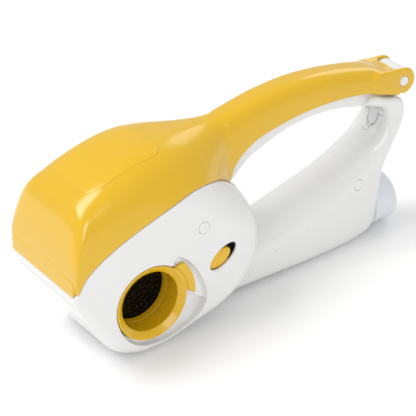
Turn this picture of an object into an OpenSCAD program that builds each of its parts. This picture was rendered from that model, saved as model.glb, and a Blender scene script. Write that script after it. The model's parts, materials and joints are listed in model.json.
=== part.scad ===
// Cordless drum grater with a squeeze lever.
// X runs from the drum end (-X) to the hinge end (+X), Y across the body, Z up.
// Shapes are drawn about the drum axis; placed() moves them so that the origin is
// the middle of the footprint.

/* [Head] */
// Height of the drum axis above the table
drum_z = 40; // [39.5:0.1:40.5]
// Radius of the round belly around the drum
belly_r = 40; // [39.5:0.1:40]
// Half width of the head
head_w = 42; // [41.5:0.1:42.5]
// Edge rounding of the belly and the motor lobe
edge_r = 13; // [11:0.5:14]
// Wall of the white housing
wall = 2.4; // [2:0.1:2.8]

/* [Drum] */
// Outer radius of the grating sheet
sheet_r = 23.5; // [23:0.1:23.8]
// Thickness of the grating sheet
sheet_t = 0.8; // [0.6:0.1:1]
// Outer radius of the retaining ring
ring_r = 26.4; // [26:0.1:26.4]
// Inner radius of the retaining ring
ring_bore_r = 21.2; // [20.5:0.1:21.5]
// Outer radius of the thumb lug on the ring
lug_r = 33.4; // [32:0.5:34.5]

/* [Lever] */
// Hinge pin distance behind the drum axis
hinge_x = 231.2; // [231.2:0.1:231.2]
// Hinge pin height above the table
hinge_z = 110; // [109.5:0.5:110.5]
// Radius of the two hinge ears
ear_r = 9.8; // [9.5:0.1:9.8]
// Radius of the hinge pin
pin_r = 2.5; // [2:0.1:3]
// Half width of the lever at the hinge
lever_w = 14; // [13.5:0.1:14.5]
// Wall of the lid and the lever
skin = 2.2; // [1.8:0.1:2.4]

/* [Drive] */
// Gear module
gear_m = 1; // [1:0.1:1]
// Teeth on the drum gear
drum_teeth = 40; // [40:1:40]
// Teeth on the small wheel of the compound gear
small_teeth = 14; // [14:1:14]
// Teeth on the large wheel of the compound gear
large_teeth = 34; // [34:1:34]
// Teeth on the motor pinion
pinion_teeth = 12; // [12:1:12]

/* [Hidden] */
$fn = 64;

front_x = -54.8;
rear_x = hinge_x + ear_r;
mid_x = (front_x + rear_x) / 2;
seam = 0.3;
drum_front = -23;
drum_back = 19;
gear_y = 29;
white = [0.93, 0.93, 0.92];
yellow = [0.93, 0.72, 0.10];
dark = [0.08, 0.07, 0.07];
steel = [0.72, 0.72, 0.74];

// ---- curves ----
function spline_point(a, b, c, d, t) =
    0.5 * (2 * b + (c - a) * t + (2 * a - 5 * b + 4 * c - d) * t * t
    + (3 * b - a - 3 * c + d) * t * t * t);
function closed_curve(p, n) = let (m = len(p)) [for (i = [0:m - 1]) for (k = [0:n - 1])
    spline_point(p[(i + m - 1) % m], p[i], p[(i + 1) % m], p[(i + 2) % m], k / n)];
function open_curve(p, n) = let (m = len(p)) concat([for (i = [0:m - 2]) for (k = [0:n - 1])
    spline_point(p[max(i - 1, 0)], p[i], p[i + 1], p[min(i + 2, m - 1)], k / n)], [p[m - 1]]);
function along(c, i) = c[(i + 1) % len(c)] - c[(i + len(c) - 1) % len(c)];
function normal_at(c, i) = let (a = along(c, i)) [a[1], -a[0]] / norm([a[0], a[1]]);
function arc(cx, cz, r, a0, a1, n) = [for (i = [0:n]) let (a = a0 + (a1 - a0) * i / n)
    [cx + r * cos(a), cz + r * sin(a)]];

// ---- lofts ----
// Rings of points joined by side faces and closed by two end caps.
module loft(rings, flip = false) {
    n = len(rings[0]);
    m = len(rings);
    sides = [for (k = [0:m - 2]) for (i = [0:n - 1]) let (j = (i + 1) % n)
        each [[k * n + i, k * n + j, (k + 1) * n + j], [k * n + i, (k + 1) * n + j, (k + 1) * n + i]]];
    caps = [[for (i = [n - 1:-1:0]) i], [for (i = [0:n - 1]) (m - 1) * n + i]];
    faces = concat(sides, caps);
    polyhedron([for (r = rings) each r],
        flip ? [for (f = faces) [for (i = [len(f) - 1:-1:0]) f[i]]] : faces);
}
// A side outline whose edges are rounded: every outline point carries its own radius.
function rounded_ring(c, y, w, less) = [for (i = [0:len(c) - 1])
    let (r = c[i][2], over = max(0, abs(y) - (w - r)),
        d = r - sqrt(max(0, r * r - over * over)) + less, n = normal_at(c, i))
    [c[i][0] - d * n[0], y, c[i][1] - d * n[1]]];
module side_loft(c, w, less = 0, steps = [0, 0.35, 0.62, 0.82, 0.95, 1]) {
    r = max([for (p = c) p[2]]);
    ys = [for (s = steps) w - r + s * r];
    all_y = concat([for (i = [len(ys) - 1:-1:0]) -ys[i]], ys);
    loft([for (y = all_y) rounded_ring(c, y, w, less)]);
}
// A section across the body: a rounded arch of half width w from z0 up to z1.
function arch_ring(x, z0, z1, w, power, lean, n) = [for (i = [0:n]) let (a = 180 * i / n,
    s = pow(abs(sin(a)), 2 / power), c = sign(cos(a)) * pow(abs(cos(a)), 2 / power))
    [x, w * c * (1 - lean * s), z0 + (z1 - z0) * s]];
module arch_loft(rows, n = 22, t = 0, drop = 0) {
    loft([for (r = rows) arch_ring(r[0], r[1] - drop, r[2] - t, r[3] - t, r[4], r[5], n)], true);
}

// ---- outlines and rows: the shape itself ----
// Lid and lever, front to back: x, skirt edge z, crest z, half width, squareness, lean
LID = [[-54.8, 64.6, 66.6, 40.5, 9, 0], [-53.4, 66.5, 76, 41.4, 8, 0.01],
    [-51, 70, 88, 42, 7, 0.02], [-47.5, 75, 100, 42, 6.5, 0.05], [-43.5, 79, 110.5, 42, 6, 0.09],
    [-39, 82, 117.5, 42, 5.5, 0.13], [-31, 86.5, 122.6, 42, 5, 0.16], [-16, 93, 129, 42, 4.6, 0.18],
    [4, 99.5, 134.6, 42, 4.2, 0.2], [23, 104.6, 136.6, 41.5, 3.8, 0.24],
    [38, 107.4, 135.8, 39.5, 3.4, 0.3], [52, 105.8, 133.8, 35.5, 3, 0.34],
    [64, 101, 132, 29, 2.8, 0.3], [74, 94.5, 131, 22, 2.7, 0.2], [82, 88, 131, 16, 2.8, 0.05]];
LEVER = [[82, 88, 131, 16, 2.8, 0.05], [88, 96, 131.8, 14.4, 3.2, 0.02],
    [96, 103, 132.8, lever_w, 3.4, 0.03], [107, 108.8, 134.6, lever_w, 3.4, 0.04],
    [122, 112.4, 136.4, lever_w, 3.4, 0.05], [145, 115.2, 137, lever_w, 3.4, 0.05],
    [168, 115.2, 134.8, lever_w, 3.4, 0.05], [190, 112.8, 130.6, lever_w, 3.4, 0.05],
    [207, 108.6, 126, lever_w, 3.6, 0.04], [218, 104.6, 121.6, lever_w, 4, 0.02]];
// Head outline: x, z, edge radius
HEAD_POINTS = [[10, 0.6, 13], [34, 6.2, 13], [57, 12.4, 13], [76, 24, 13], [87, 42, 13],
    [90, 60, 14], [88, 75, 19], [82.5, 87.6, 25], [75, 95.4, 26], [66, 104, 26], [56.5, 113.5, 26],
    [41, 122, 24], [24, 126, 22], [0, 122, 12], [-30, 114, 6], [-46, 100, 5], [-51, 84, 5],
    [-54.2, 66, 5], [-51, 54, 6.5], [-45.8, 41, 8]];
BELLY_START = 205;
BELLY_END = 262;
HEAD = concat(open_curve(HEAD_POINTS, 3),
    [for (p = arc(0, drum_z, belly_r, BELLY_START, BELLY_END, 9))
        [p[0], p[1], 9 + (edge_r - 9) * min(1, max(0, (p[0] + 37) / 20))]]);
// Grip, front to back: x, sole z, widest z, crest z, half width
GRIP = [[56, 6, 14, 40, 20], [84, 3.8, 19, 41, 21.5], [112, 2.2, 24.5, 45.5, 22],
    [140, 0.4, 32, 52.4, 22], [166, -0.5, 39.5, 59, 21.5], [180, -0.5, 45.5, 64, 20.8],
    [192, 1, 53, 69.6, 20], [200, 5, 60, 73.2, 18.5], [203, 20, 62.5, 74.4, 18.2],
    [206, 42, 65.5, 75.4, 18], [210, 52, 70, 77.5, 17.6], [215, 60, 75, 80.5, 17.2]];
// The hollow in the grip ends here; the rest is solid
GRIP_HOLLOW_END = 196.5;
// Rear arch: x, z, edge radius
ARCH = closed_curve([[190, 8, 5], [199, 12, 5], [203.5, 28, 5], [206.5, 40, 5], [211, 54, 5],
    [219.5, 64.5, 5], [228.5, 77, 5], [233.4, 89, 4], [233, 96, 3], [226, 98.5, 3], [215, 102, 3],
    [204, 107, 3], [198, 104, 4], [204, 100, 4], [211, 96.5, 5], [215, 91.5, 6], [215, 86.5, 6],
    [213, 81, 6], [209.5, 75.5, 6], [204, 69, 6], [197, 62, 6], [188, 54, 6], [184, 34, 6]], 3);
// Fixed arm under the lever: x, z, edge radius
ARM = closed_curve([[74, 88, 3], [80, 80, 3], [88, 83, 3], [103, 94.5, 3], [128, 103.6, 3],
    [152, 107, 3], [175, 105.5, 3], [194, 101, 3], [206, 99, 3], [211, 104, 3], [206, 113, 3],
    [194, 117, 3], [170, 124, 3], [145, 127, 3], [120, 125, 3], [100, 117.5, 3], [84, 104, 3]], 3);
HINGE_WEB_Z = [101, 112];
LOCK_AT = [56.2, 52.9];
LOCK_ANGLE = 32;
LOCK_SLOT = [11.8, 6];
LOCK_PAD = [9.2, 5.4];
LOCK_REST = -2.4;
PLUGS = [[43, -head_w, 80], [185, -20.4, 47.5]];
PLUG_R = 4.2;
COVER_T = 1.6;
SCREW_HEAD_R = 3;
SCREW_R = 1.5;
SCREW_SEAT = 6;
SCREW_END = 12;
POST_R = 5;
LEAF_Y = -36;
LEAF_HALF = 9.5;
SWITCH_Z = 120.1;
BUTTON_END = 221;
LIGHT_START = 205.4;
LIGHT_END = 214;
SPIGOT_R = 13.5;
SPIGOT_START = 198;
MOTOR_FACE = 22.5;
// Thumb recess round the ring: angle about the drum axis, radius
POCKET_EDGE = [[-162, 26.6], [-142, 28], [-111, 30.2], [-84, 32], [-61, 36], [-41, 40.3],
    [-29, 42.6], [-18, 43.4], [-8, 41.6], [4, 39], [20, 36.8], [36, 35.6], [51, 34.4]];
POCKET_FLOOR = -36;
POCKET_SHELF = -39;
POCKET_STEP_ANGLE = -12;
LINER_BACK = -33;
COLLAR_R = 28.4;
LUG_ANGLES = [-12, 42];
RING_FUNNEL = 3.4;
IDLER_ANGLE = -20;
PINION_ANGLE = 25;
IDLER = [(drum_teeth + small_teeth) / 2 * gear_m * cos(IDLER_ANGLE),
    drum_z + (drum_teeth + small_teeth) / 2 * gear_m * sin(IDLER_ANGLE)];
MOTOR = IDLER + (large_teeth + pinion_teeth) / 2 * gear_m * [cos(PINION_ANGLE), sin(PINION_ANGLE)];
MOTOR_R = 12.5;
SHAFT_R = 1;
CAP_START = 205;
CAP_END = 222;
CAP_Z = 19.4;
CAP_R = 18;
CELL_R = 7.1;
CELLS = [[-7.7, 13.2], [7.7, 13.2], [0, 25.6]];
// Power key: height of its middle, half its straight part, end radius, lean from upright
BUTTON = [85.6, 2.6, 4.4];
BUTTON_LEAN = 16;
LIGHT = [75, 2.4];

module placed() translate([-mid_x, 0, 0]) children();
module rod(x, z, y0, y1, r, fn = 64) translate([x, y1, z]) rotate([90, 0, 0])
    cylinder(r = r, h = y1 - y0, $fn = fn);
module x_rod(x0, x1, y, z, r, fn = 64) translate([x0, y, z]) rotate([0, 90, 0])
    cylinder(r = r, h = x1 - x0, $fn = fn);
module block(a, b) translate(a) cube(b - a);

module linear_y(y0, y1) translate([0, y1, 0]) rotate([90, 0, 0]) linear_extrude(y1 - y0) children();
// The space above the curve where the yellow lid meets the white head
module above_lid_edge(drop) linear_y(-60, 60) polygon(concat([[-80, LID[0][1] - drop]],
    [for (r = LID) [r[0], r[1] - drop]], [[83, 87 - drop], [95, 87 - drop], [95, 180], [-80, 180]]));
module grip_loft(t = 0) loft([for (r = GRIP) [for (i = [0:27]) let (a = 360 * i / 28,
    up = a < 180, p = up ? 2.2 : 5, s = pow(abs(sin(a)), 2 / p),
    c = sign(cos(a)) * pow(abs(cos(a)), 2 / p))
    [r[0], (r[4] - t) * c,
        up ? r[2] + (r[3] - t - r[2]) * s : r[2] - (r[2] - r[1] - t) * s]]], true);
module sector(a0, a1, r) polygon(concat([[0, drum_z]], arc(0, drum_z, r, a0, a1, 12)));
// An oval outline along the lock's own slide direction
module oval(at, a, b, y0, y1) linear_y(y0, y1) translate(at) rotate(LOCK_ANGLE)
    polygon([for (i = [0:47]) [a * cos(7.5 * i), b * sin(7.5 * i)]]);
module lock_block(at, a, b) translate([at[0], 0, at[1]]) rotate([0, -LOCK_ANGLE, 0]) block(a, b);
// Joins its children into one mesh at the same size, so that later cuts meet a single solid
module joined() resize([0, 0, 0]) union() children();

// ---- white housing ----
module head_shell() difference() {
    side_loft(HEAD, head_w);
    side_loft(HEAD, head_w - wall, wall);
    above_lid_edge(seam);
    block([56, -17, 14], [95, 17, 34]);
}
module handle_solid() {
    grip_loft();
    side_loft(ARCH, 17);
    side_loft(ARM, 10);
    block([203, -10, HINGE_WEB_Z[0]], [hinge_x, 10, HINGE_WEB_Z[1]]);
    rod(hinge_x, hinge_z, -10, 10, 8.6);
}
module handle_shell() difference() {
    union() handle_solid();
    intersection() {
        grip_loft(wall);
        block([40, -30, -5], [GRIP_HOLLOW_END, 30, 90]);
    }
    for (s = [-1, 1])
        rod(hinge_x, hinge_z, s > 0 ? 10.4 : -30, s > 0 ? 30 : -10.4, ear_r + 0.6);
    block([149.6, -4.2, SWITCH_Z], [166.4, 4.2, 140]);
    x_rod(CAP_START - 0.4, 240, 0, CAP_Z, CAP_R + 0.5);
    side_loft(HEAD, head_w - 0.4, 0.4);
    block([100, -30, -5], [220, 30, 0]);
}
module near_half() intersection() {
    children();
    block([-90, -60, -10], [260, 0, 180]);
}
module far_half() intersection() {
    children();
    block([-90, 0, -10], [260, 60, 180]);
}
module pocket_outline(more) polygon(concat([[0, drum_z]],
    [for (p = open_curve(POCKET_EDGE, 4)) [(p[1] + more) * cos(p[0]), drum_z + (p[1] + more) * sin(p[0])]]));
module pocket_liner() intersection() {
    side_loft(HEAD, head_w - 0.5, 0.5);
    linear_y(-head_w, LINER_BACK) union() {
        pocket_outline(1.8);
        translate([0, drum_z]) circle(r = 31);
    }
}
// Two floors: a shelf where the lug rests, and a deeper one that it turns into
module pocket() difference() {
    union() {
        linear_y(-60, POCKET_SHELF) pocket_outline(0);
        intersection() {
            linear_y(-60, POCKET_FLOOR) pocket_outline(0);
            linear_y(-60, 0) sector(-180, POCKET_STEP_ANGLE, 80);
        }
    }
    rod(0, drum_z, -39.2, -20, COLLAR_R);
}
// Posts inside the head and the grip that take the two case screws
module screw_posts(side) for (p = PLUGS)
    rod(p[0], p[2], side < 0 ? p[1] + 1.4 : 0, side < 0 ? 0 : -p[1] - 1.4, POST_R, 32);
module leaf_posts() for (side = [-1, 1])
    lock_block(LOCK_AT, [-3, -head_w + 1, side * (LEAF_HALF - 0.8) - 0.8],
        [3, LEAF_Y, side * (LEAF_HALF - 0.8) + 0.8]);
// A stepped hole: cover recess, head recess and shank
module screw_hole(p) translate(p) rotate([-90, 0, 0]) rotate_extrude()
    polygon([[0, -20], [PLUG_R, -20], [PLUG_R, COVER_T], [SCREW_HEAD_R + 0.2, COVER_T],
        [SCREW_HEAD_R + 0.2, SCREW_SEAT], [SCREW_R + 0.2, SCREW_SEAT], [SCREW_R + 0.2, 1 - p[1]],
        [0, 1 - p[1]]]);
// Round holes that both halves of the handle share
// Upright oblong along X
module key_form(x0, x1, r) translate([x0, 0, BUTTON[0]]) rotate([90, 0, 90]) linear_extrude(x1 - x0)
    polygon(concat(arc(0, BUTTON[1], r, 0, 180, 16), arc(0, -BUTTON[1], r, 180, 360, 16)));
module handle_bores() {
    rod(hinge_x, hinge_z, -30, 30, pin_r);
    key_form(200, BUTTON_END + 2, BUTTON[2] + 0.15);
    x_rod(200, LIGHT_END, 0, LIGHT[0], LIGHT[1]);
    x_rod(SPIGOT_START, 212, 0, CAP_Z, SPIGOT_R + 0.05);
}
module housing_near() color(white) placed() difference() {
    joined() {
        difference() {
            union() {
                near_half() head_shell();
                near_half() handle_shell();
                pocket_liner();
            }
            pocket();
        }
        screw_posts(-1);
        leaf_posts();
    }
    handle_bores();
    rod(0, drum_z, -60, -30, ring_r + 0.6);
    oval(LOCK_AT, LOCK_SLOT[0], LOCK_SLOT[1], -60, -34);
    for (p = PLUGS)
        screw_hole(p);
}
module housing_far() color(white) placed() difference() {
    joined() {
        far_half() head_shell();
        far_half() handle_shell();
        screw_posts(1);
    }
    handle_bores();
    for (p = PLUGS)
        rod(p[0], p[2], -1, SCREW_END, SCREW_R);
}
module screw_covers() color(white) placed() for (p = PLUGS)
    rod(p[0], p[2], p[1], p[1] + COVER_T, PLUG_R - 0.1);
module housing_screws() color(steel) placed() for (p = PLUGS) {
    rod(p[0], p[2], p[1] + SCREW_SEAT - 2.2, p[1] + SCREW_SEAT, SCREW_HEAD_R, 32);
    rod(p[0], p[2], p[1] + SCREW_SEAT, SCREW_END, SCREW_R, 32);
}
module hopper() color(white) placed() difference() {
    union() {
        block([-33, LINER_BACK, 52], [31, 22.5, 98]);
        rod(0, drum_z, LINER_BACK, 22.5, 28);
    }
    block([-31, LINER_BACK + 2, 54], [29, 20.5, 120]);
    rod(0, drum_z, LINER_BACK + 2, 20.5, 26);
    rod(0, drum_z, -60, -30, ring_r + 0.6);
    rod(0, drum_z, 10, 30, 9);
}

// ---- drum and its lock ----
module drum_sheet() color(dark) placed() difference() {
    rod(0, drum_z, drum_front, drum_back, sheet_r, 96);
    rod(0, drum_z, drum_front - 1, drum_back + 1, sheet_r - sheet_t, 96);
}
module drum_collar() color(yellow) placed() difference() {
    union() {
        rod(0, drum_z, drum_front - 2.4, drum_front, sheet_r);
        rod(0, drum_z, drum_front, drum_front + 3, sheet_r - sheet_t);
    }
    rod(0, drum_z, drum_front - 5, drum_front + 5, ring_bore_r);
}
module drum_hub() color(yellow) placed() {
    rod(0, drum_z, drum_back - 3, drum_back, sheet_r - sheet_t);
    rod(0, drum_z, drum_back, 34.5, 6);
}
module drum_bearing() color(steel) placed() difference() {
    union() {
        rod(0, drum_z, 20.5, 22.5, 9);
        rod(0, drum_z, 22.5, 24, 10.5);
    }
    rod(0, drum_z, 10, 40, 6.06);
}
module retaining_ring() color(yellow) placed() difference() {
    union() {
        rod(0, drum_z, -head_w, -39.6, ring_r);
        rod(0, drum_z, -40, drum_front - 2.8, ring_r - 1.8);
        intersection() {
            linear_y(-head_w, -39.4) sector(LUG_ANGLES[0], LUG_ANGLES[1], 60);
            rod(0, drum_z, -head_w, -39.4, lug_r);
        }
    }
    rod(0, drum_z, -60, -20, ring_bore_r);
    translate([0, -head_w + RING_FUNNEL, drum_z]) rotate([90, 0, 0])
        cylinder(r1 = ring_bore_r, r2 = ring_r - 1.2, h = RING_FUNNEL + 0.01);
}
module lock_button() color(yellow) placed() {
    rest = LOCK_AT + LOCK_REST * [cos(LOCK_ANGLE), sin(LOCK_ANGLE)];
    oval(rest, LOCK_PAD[0], LOCK_PAD[1], -40.8, LEAF_Y);
    lock_block(rest, [-4, -39.5, -7.4], [4, -38.3, 7.4]);
}
module lock_leaf() color(steel) placed()
    lock_block(LOCK_AT, [-2, LEAF_Y, -LEAF_HALF], [2, LEAF_Y + 0.6, LEAF_HALF]);

// ---- lid and lever ----
module lid() color(yellow) placed() difference() {
    arch_loft(LID);
    arch_loft([for (r = LID) [r[0] + skin * min(1, max(0, (-27 - r[0]) / 20)), r[1], r[2], r[3],
        r[4], r[5]]], 22, skin, 4);
    block([81, -13, 60], [90, 13, 128.6]);
}
module ear(s) hull() {
    rod(hinge_x, hinge_z, s > 0 ? 10.6 : -lever_w, s > 0 ? lever_w : -10.6, ear_r, 32);
    translate([206, s > 0 ? 11.4 : -13.6, 107]) cube([10, 2.2, 13]);
}
module lever() color(yellow) placed() difference() {
    union() {
        difference() {
            arch_loft(LEVER);
            arch_loft(LEVER, 22, skin, 3);
        }
        ear(-1);
        ear(1);
    }
    rod(hinge_x, hinge_z, -30, 30, pin_r + 0.05);
    for (s = [-1, 1])
        rod(hinge_x, hinge_z, s > 0 ? 12.9 : -20, s > 0 ? 20 : -12.9, 3.7);
}
// The food pusher hangs from the lid on two posts; its front is set back so that it clears
// the hopper wall as the lid swings up.
module pusher() color(white) placed() difference() {
    union() {
        difference() {
            block([-18, -24, 58], [24, 18, 108]);
            block([-15.6, -21.6, 72], [21.6, 15.6, 120]);
        }
        block([-12, -10, 70], [-8, 6, 129]);
        block([9, -10, 70], [13, 6, 133.7]);
    }
    rod(0, drum_z, -40, 30, sheet_r + 1.6);
}
module badge_plate() color(yellow) placed() intersection() {
    difference() {
        arch_loft(LID, 22, -0.25);
        arch_loft(LID, 22, 1, 3);
    }
    block([-29, -25, 100], [27, 25, 150]);
}
module hinge_pin() color(steel) placed() rod(hinge_x, hinge_z, -12.7, 12.7, pin_r);
module pin_cap() color(white) placed() for (s = [-1, 1])
    rod(hinge_x, hinge_z, s > 0 ? 12.95 : -lever_w, s > 0 ? lever_w : -12.95, 3.6);

// ---- drive ----
function involute(a) = tan(a) * 180 / PI - a;
function tooth_half(n, r, backlash) = let (rp = n * gear_m / 2, rb = rp * cos(20),
    a = acos(min(1, rb / r))) 90 / n - backlash / rp * 90 / PI + involute(20) - involute(a);
module gear(at, n, phase, y0, y1, bore) {
    rp = n * gear_m / 2;
    root = rp - 1.15 * gear_m;
    tip = rp + 0.85 * gear_m;
    base = max(root, rp * cos(20));
    rs = [for (k = [0:4]) base + (tip - base) * k / 4];
    tooth = concat([[root - 0.3, tooth_half(n, base, 0.1)]], [for (r = rs) [r, tooth_half(n, r, 0.1)]]);
    points = [for (i = [0:n - 1]) let (mid = phase + 360 * i / n)
        each concat([for (t = tooth) t[0] * [cos(mid - t[1]), sin(mid - t[1])]],
            [for (k = [len(tooth) - 1:-1:0])
                tooth[k][0] * [cos(mid + tooth[k][1]), sin(mid + tooth[k][1])]])];
    difference() {
        linear_y(y0, y1) translate(at) polygon(points);
        rod(at[0], at[1], y0 - 1, y1 + 1, bore);
    }
}
module drum_gear() color(white) placed()
    gear([0, drum_z], drum_teeth, IDLER_ANGLE, gear_y + 1, gear_y + 5, 6);
module compound_gear() color(white) placed() {
    gear(IDLER, small_teeth, IDLER_ANGLE + 180 + 180 / small_teeth, gear_y + 0.5, gear_y + 5.5, 1.55);
    gear(IDLER, large_teeth, PINION_ANGLE, gear_y - 3, gear_y + 0.5, 1.55);
}
module motor_pinion() color(steel) placed()
    gear(MOTOR, pinion_teeth, PINION_ANGLE + 180 + 180 / pinion_teeth, gear_y - 3.4, gear_y + 0.8,
        SHAFT_R);
module motor_shaft() color(steel) placed() rod(MOTOR[0], MOTOR[1], 12, gear_y + 1.4, SHAFT_R, 32);
module gear_axle() color(steel) placed() rod(IDLER[0], IDLER[1], 22.5, head_w - wall, 1.5);
module motor() color(steel) placed() difference() {
    union() {
        rod(MOTOR[0], MOTOR[1], -14, MOTOR_FACE, MOTOR_R);
        rod(MOTOR[0], MOTOR[1], MOTOR_FACE, MOTOR_FACE + 2.2, 3.4);
    }
    rod(MOTOR[0], MOTOR[1], 12, MOTOR_FACE + 4, SHAFT_R + 0.1);
}
// The plate carries the motor on the back wall of the hopper
module motor_plate() color(steel) placed() difference() {
    union() {
        rod(MOTOR[0], MOTOR[1], MOTOR_FACE, MOTOR_FACE + 1.6, MOTOR_R + 2);
        block([22, MOTOR_FACE, 47], [50, MOTOR_FACE + 1.6, 60]);
    }
    rod(MOTOR[0], MOTOR[1], MOTOR_FACE - 1, MOTOR_FACE + 3, 3.45);
}

// ---- power and switches ----
module battery_cells() color([0.2, 0.45, 0.3]) placed() for (c = CELLS) {
    x_rod(120, 168, c[0], c[1], CELL_R);
    x_rod(168, 169.4, c[0], c[1], 2.6);
}
module battery_cradle() color([0.5, 0.5, 0.5]) placed() for (x = [117, 169.6])
    block([x, -15, 6.4], [x + 2, 15, 33]);
module circuit_board() color([0.1, 0.4, 0.2]) placed() {
    block([122, -9, 34.6], [166, 9, 36.2]);
    block([128, -5, 36.2], [136, 5, 39]);
    block([142, -3, 36.2], [150, 3, 38.4]);
}
module lever_switch() color(dark) placed() {
    block([150, -4, SWITCH_Z], [166, 4, 129.4]);
    block([156, -1.5, 129.4], [160, 1.5, 132]);
}
module power_button() color(white) placed() intersection() {
    key_form(205, BUTTON_END, BUTTON[2]);
    translate([213.6, -10, BUTTON[0]]) rotate([0, BUTTON_LEAN, 0]) translate([0, 0, -20]) cube([20, 20, 40]);
}
module charge_light() color([0.8, 0.9, 0.8]) placed() x_rod(LIGHT_START, LIGHT_END, 0, LIGHT[0], LIGHT[1] - 0.05);
module rear_cap() color([0.86, 0.86, 0.88]) placed() difference() {
    union() {
        x_rod(CAP_START, CAP_END - 2.6, 0, CAP_Z, CAP_R);
        x_rod(CAP_END - 2.6, CAP_END, 0, CAP_Z, CAP_R - 2);
    }
    x_rod(CAP_START - 1, CAP_END - 3.6, 0, CAP_Z, CAP_R - 2.4);
    block([CAP_END - 1.2, -5, CAP_Z + 10], [CAP_END + 1, 5, CAP_Z + 12.2]);
}
module rear_spigot() color(white) placed() difference() {
    union() {
        x_rod(SPIGOT_START, CAP_START, 0, CAP_Z, SPIGOT_R);
        x_rod(CAP_START, CAP_END - 5.6, 0, CAP_Z, CAP_R - 2.5);
    }
    x_rod(190, CAP_END, 0, CAP_Z, 11.5);
}

housing_near();
housing_far();
hopper();
housing_screws();
screw_covers();
drum_sheet();
drum_collar();
drum_hub();
drum_bearing();
retaining_ring();
lock_button();
lock_leaf();
lid();
lever();
pusher();
badge_plate();
hinge_pin();
pin_cap();
motor();
motor_plate();
motor_pinion();
motor_shaft();
compound_gear();
gear_axle();
drum_gear();
battery_cells();
battery_cradle();
circuit_board();
lever_switch();
power_button();
charge_light();
rear_cap();
rear_spigot();
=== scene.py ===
"""Looks of the cordless drum grater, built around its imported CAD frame.

Shapes are worked out in millimetres, with X from the drum axis and Z from the table, the
same as in the CAD source, and put into the row frame, in metres, by build_mesh().
"""
import json
import math

import bmesh
import bpy
import numpy as np
from mathutils import Matrix, Vector


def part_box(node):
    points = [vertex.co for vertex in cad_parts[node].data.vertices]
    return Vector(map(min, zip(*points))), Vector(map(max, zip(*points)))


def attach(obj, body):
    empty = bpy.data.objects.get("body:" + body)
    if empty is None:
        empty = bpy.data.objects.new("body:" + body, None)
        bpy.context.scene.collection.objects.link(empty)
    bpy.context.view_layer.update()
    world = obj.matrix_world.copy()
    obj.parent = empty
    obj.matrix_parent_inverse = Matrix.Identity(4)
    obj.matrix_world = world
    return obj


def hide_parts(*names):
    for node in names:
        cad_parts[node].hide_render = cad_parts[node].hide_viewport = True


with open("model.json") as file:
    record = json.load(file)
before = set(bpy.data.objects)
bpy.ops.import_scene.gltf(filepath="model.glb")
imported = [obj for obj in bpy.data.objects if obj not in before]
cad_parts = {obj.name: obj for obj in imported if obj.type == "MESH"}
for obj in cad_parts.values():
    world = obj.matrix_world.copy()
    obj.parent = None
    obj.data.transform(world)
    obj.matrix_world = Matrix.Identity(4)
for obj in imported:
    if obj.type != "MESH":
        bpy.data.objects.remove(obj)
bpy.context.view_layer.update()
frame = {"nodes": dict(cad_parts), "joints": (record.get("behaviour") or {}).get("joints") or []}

# ---------------------------------------------------------------- driving places
JOINTS = {j["name"]: j for j in frame["joints"]}
DRUM_AT = JOINTS["drum_spin"]["pos_m"]
HINGE_AT = JOINTS["lever_hinge"]["pos_m"]
MM = 0.001
MID_X = DRUM_AT[0]
DRUM_Z = DRUM_AT[2] / MM
HINGE_X = (HINGE_AT[0] - MID_X) / MM
HINGE_Z = HINGE_AT[2] / MM
HEAD_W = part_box("housing_far")[1].y / MM
WALL = 2.4
SKIN = 2.2
OUTER_INSET = 0.12
# Flat faces lie a little off the sampling planes: a face right on a plane comes out rough
HEAD_HALF = HEAD_W - 0.06
ARCH_HALF = 16.87
HINGE_HALF = 9.87
EAR_INNER, EAR_OUTER = 10.9, 13.93
EAR_R = 9.8
EAR_CLEARANCE = 0.7
KNUCKLE_R = 8.6
PIN_R = 2.5
PIN_COVER_R = 3.8
PIN_COVER_FACE, PIN_COVER_BACK, PIN_WELL = 14.0, 12.95, 12.9
STEM_X, STEM_Z, STEM_R = 212.0, 114.4, 7.4
RING_R = 26.4
RING_BORE = 21.2
FUNNEL = 3.4
LIP_BACK, LUG_BACK, TUBE_BACK = -39.6, -39.4, -25.9
COLLAR_R = 28.4
LUG_R = 33.4
# Thumb recess round the ring: angle about the drum axis in degrees, radius
RECESS = [(-162, 26.6), (-142, 28), (-111, 30.2), (-84, 32), (-61, 36), (-41, 40.3), (-29, 42.6),
          (-18, 43.4), (-8, 41.6), (4, 39), (20, 36.8), (36, 35.6), (51, 34.4)]
SHELF_Y = -39.0
RECESS_FLOOR = -35.2
COLLAR_FRONT = -39.2
LINER_FRONT, LINER_BACK = -41.6, -33.0
LINER_WALL = 1.8
LEDGE_AT = (29.4, 34.3)
LEDGE_NORMAL = (0.591, 0.805)
LOCK_AT = (56.2, 52.9)
LOCK_ANGLE = math.radians(32)
LOCK_SLOT = (11.8, 6.0)
LOCK_PAD = (9.2, 5.4)
LOCK_REST = -2.4
LOCK_BACK = -36
PLUGS = ((43.0, -HEAD_W, 80.0), (185.0, -20.4, 47.5))
PLUG_R = 4.2
PLUG_DEPTH = 1.6
KEY_Z, KEY_HALF, KEY_R, KEY_LEAN = 84.6, 2.4, 4.4, 16
KEY_X, KEY_WELL_X, KEY_WELL_HALF = 213.3, 214.0, 9.0
LIGHT_X, LIGHT_Z, LIGHT_R = 208.3, 76.2, 2.3
LIGHT_END = 213.9
CAP_Z = 19.4
CAP_R = 18.0
CAP_START, CAP_END = 202.0, 222.0
LID_END = 82.0
LID_GAP = 0.35

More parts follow.
